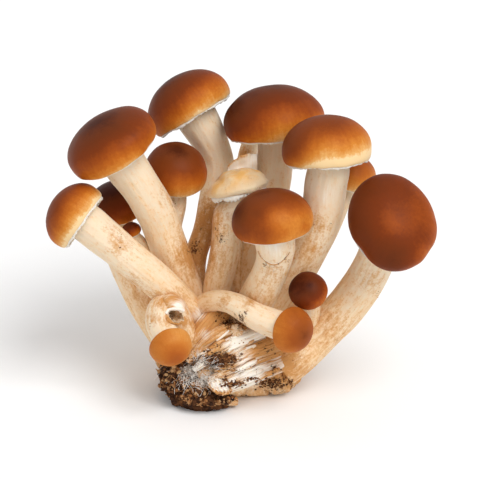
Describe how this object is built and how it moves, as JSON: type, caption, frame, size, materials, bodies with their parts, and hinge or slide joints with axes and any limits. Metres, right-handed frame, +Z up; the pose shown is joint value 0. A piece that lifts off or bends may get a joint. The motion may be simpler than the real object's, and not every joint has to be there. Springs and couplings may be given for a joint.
{
  "type": "pioppino mushroom cluster",
  "caption": "Fresh cluster of brown-capped mushrooms on cream stems, grown from one root clump with clinging soil, standing on its broad foot.",
  "frame": {"origin": "on the table under the middle of the root clump's flat foot", "axes": "+Z up, +X to the viewer's right along the cluster's width, +Y away from the viewer of the picture"},
  "size_m": [0.1372, 0.0959, 0.1072],
  "materials": {
    "cap_skin": "satin",
    "pale_cap_skin": "matte",
    "stem_flesh": "matte",
    "growing_soil": "rough"
  },
  "bodies": {
    "root": {"stems_and_clump": "stem_flesh", "soil_clod": "growing_soil", "cap_tall_left": "cap_skin", "cap_back_left": "cap_skin", "cap_back_centre": "cap_skin", "cap_right_centre": "cap_skin", "cap_right_front": "cap_skin", "cap_front_centre": "cap_skin", "cap_far_left": "cap_skin", "cap_shaded_left": "cap_skin", "cap_hidden_left": "cap_skin", "cap_behind_right": "cap_skin", "cap_pale": "pale_cap_skin", "cap_hidden_back": "cap_skin", "cap_drooping_left": "cap_skin", "cap_drooping_right": "cap_skin", "cap_small_dark": "cap_skin", "cap_tiny_left": "cap_skin"}
  },
  "joints": []
}
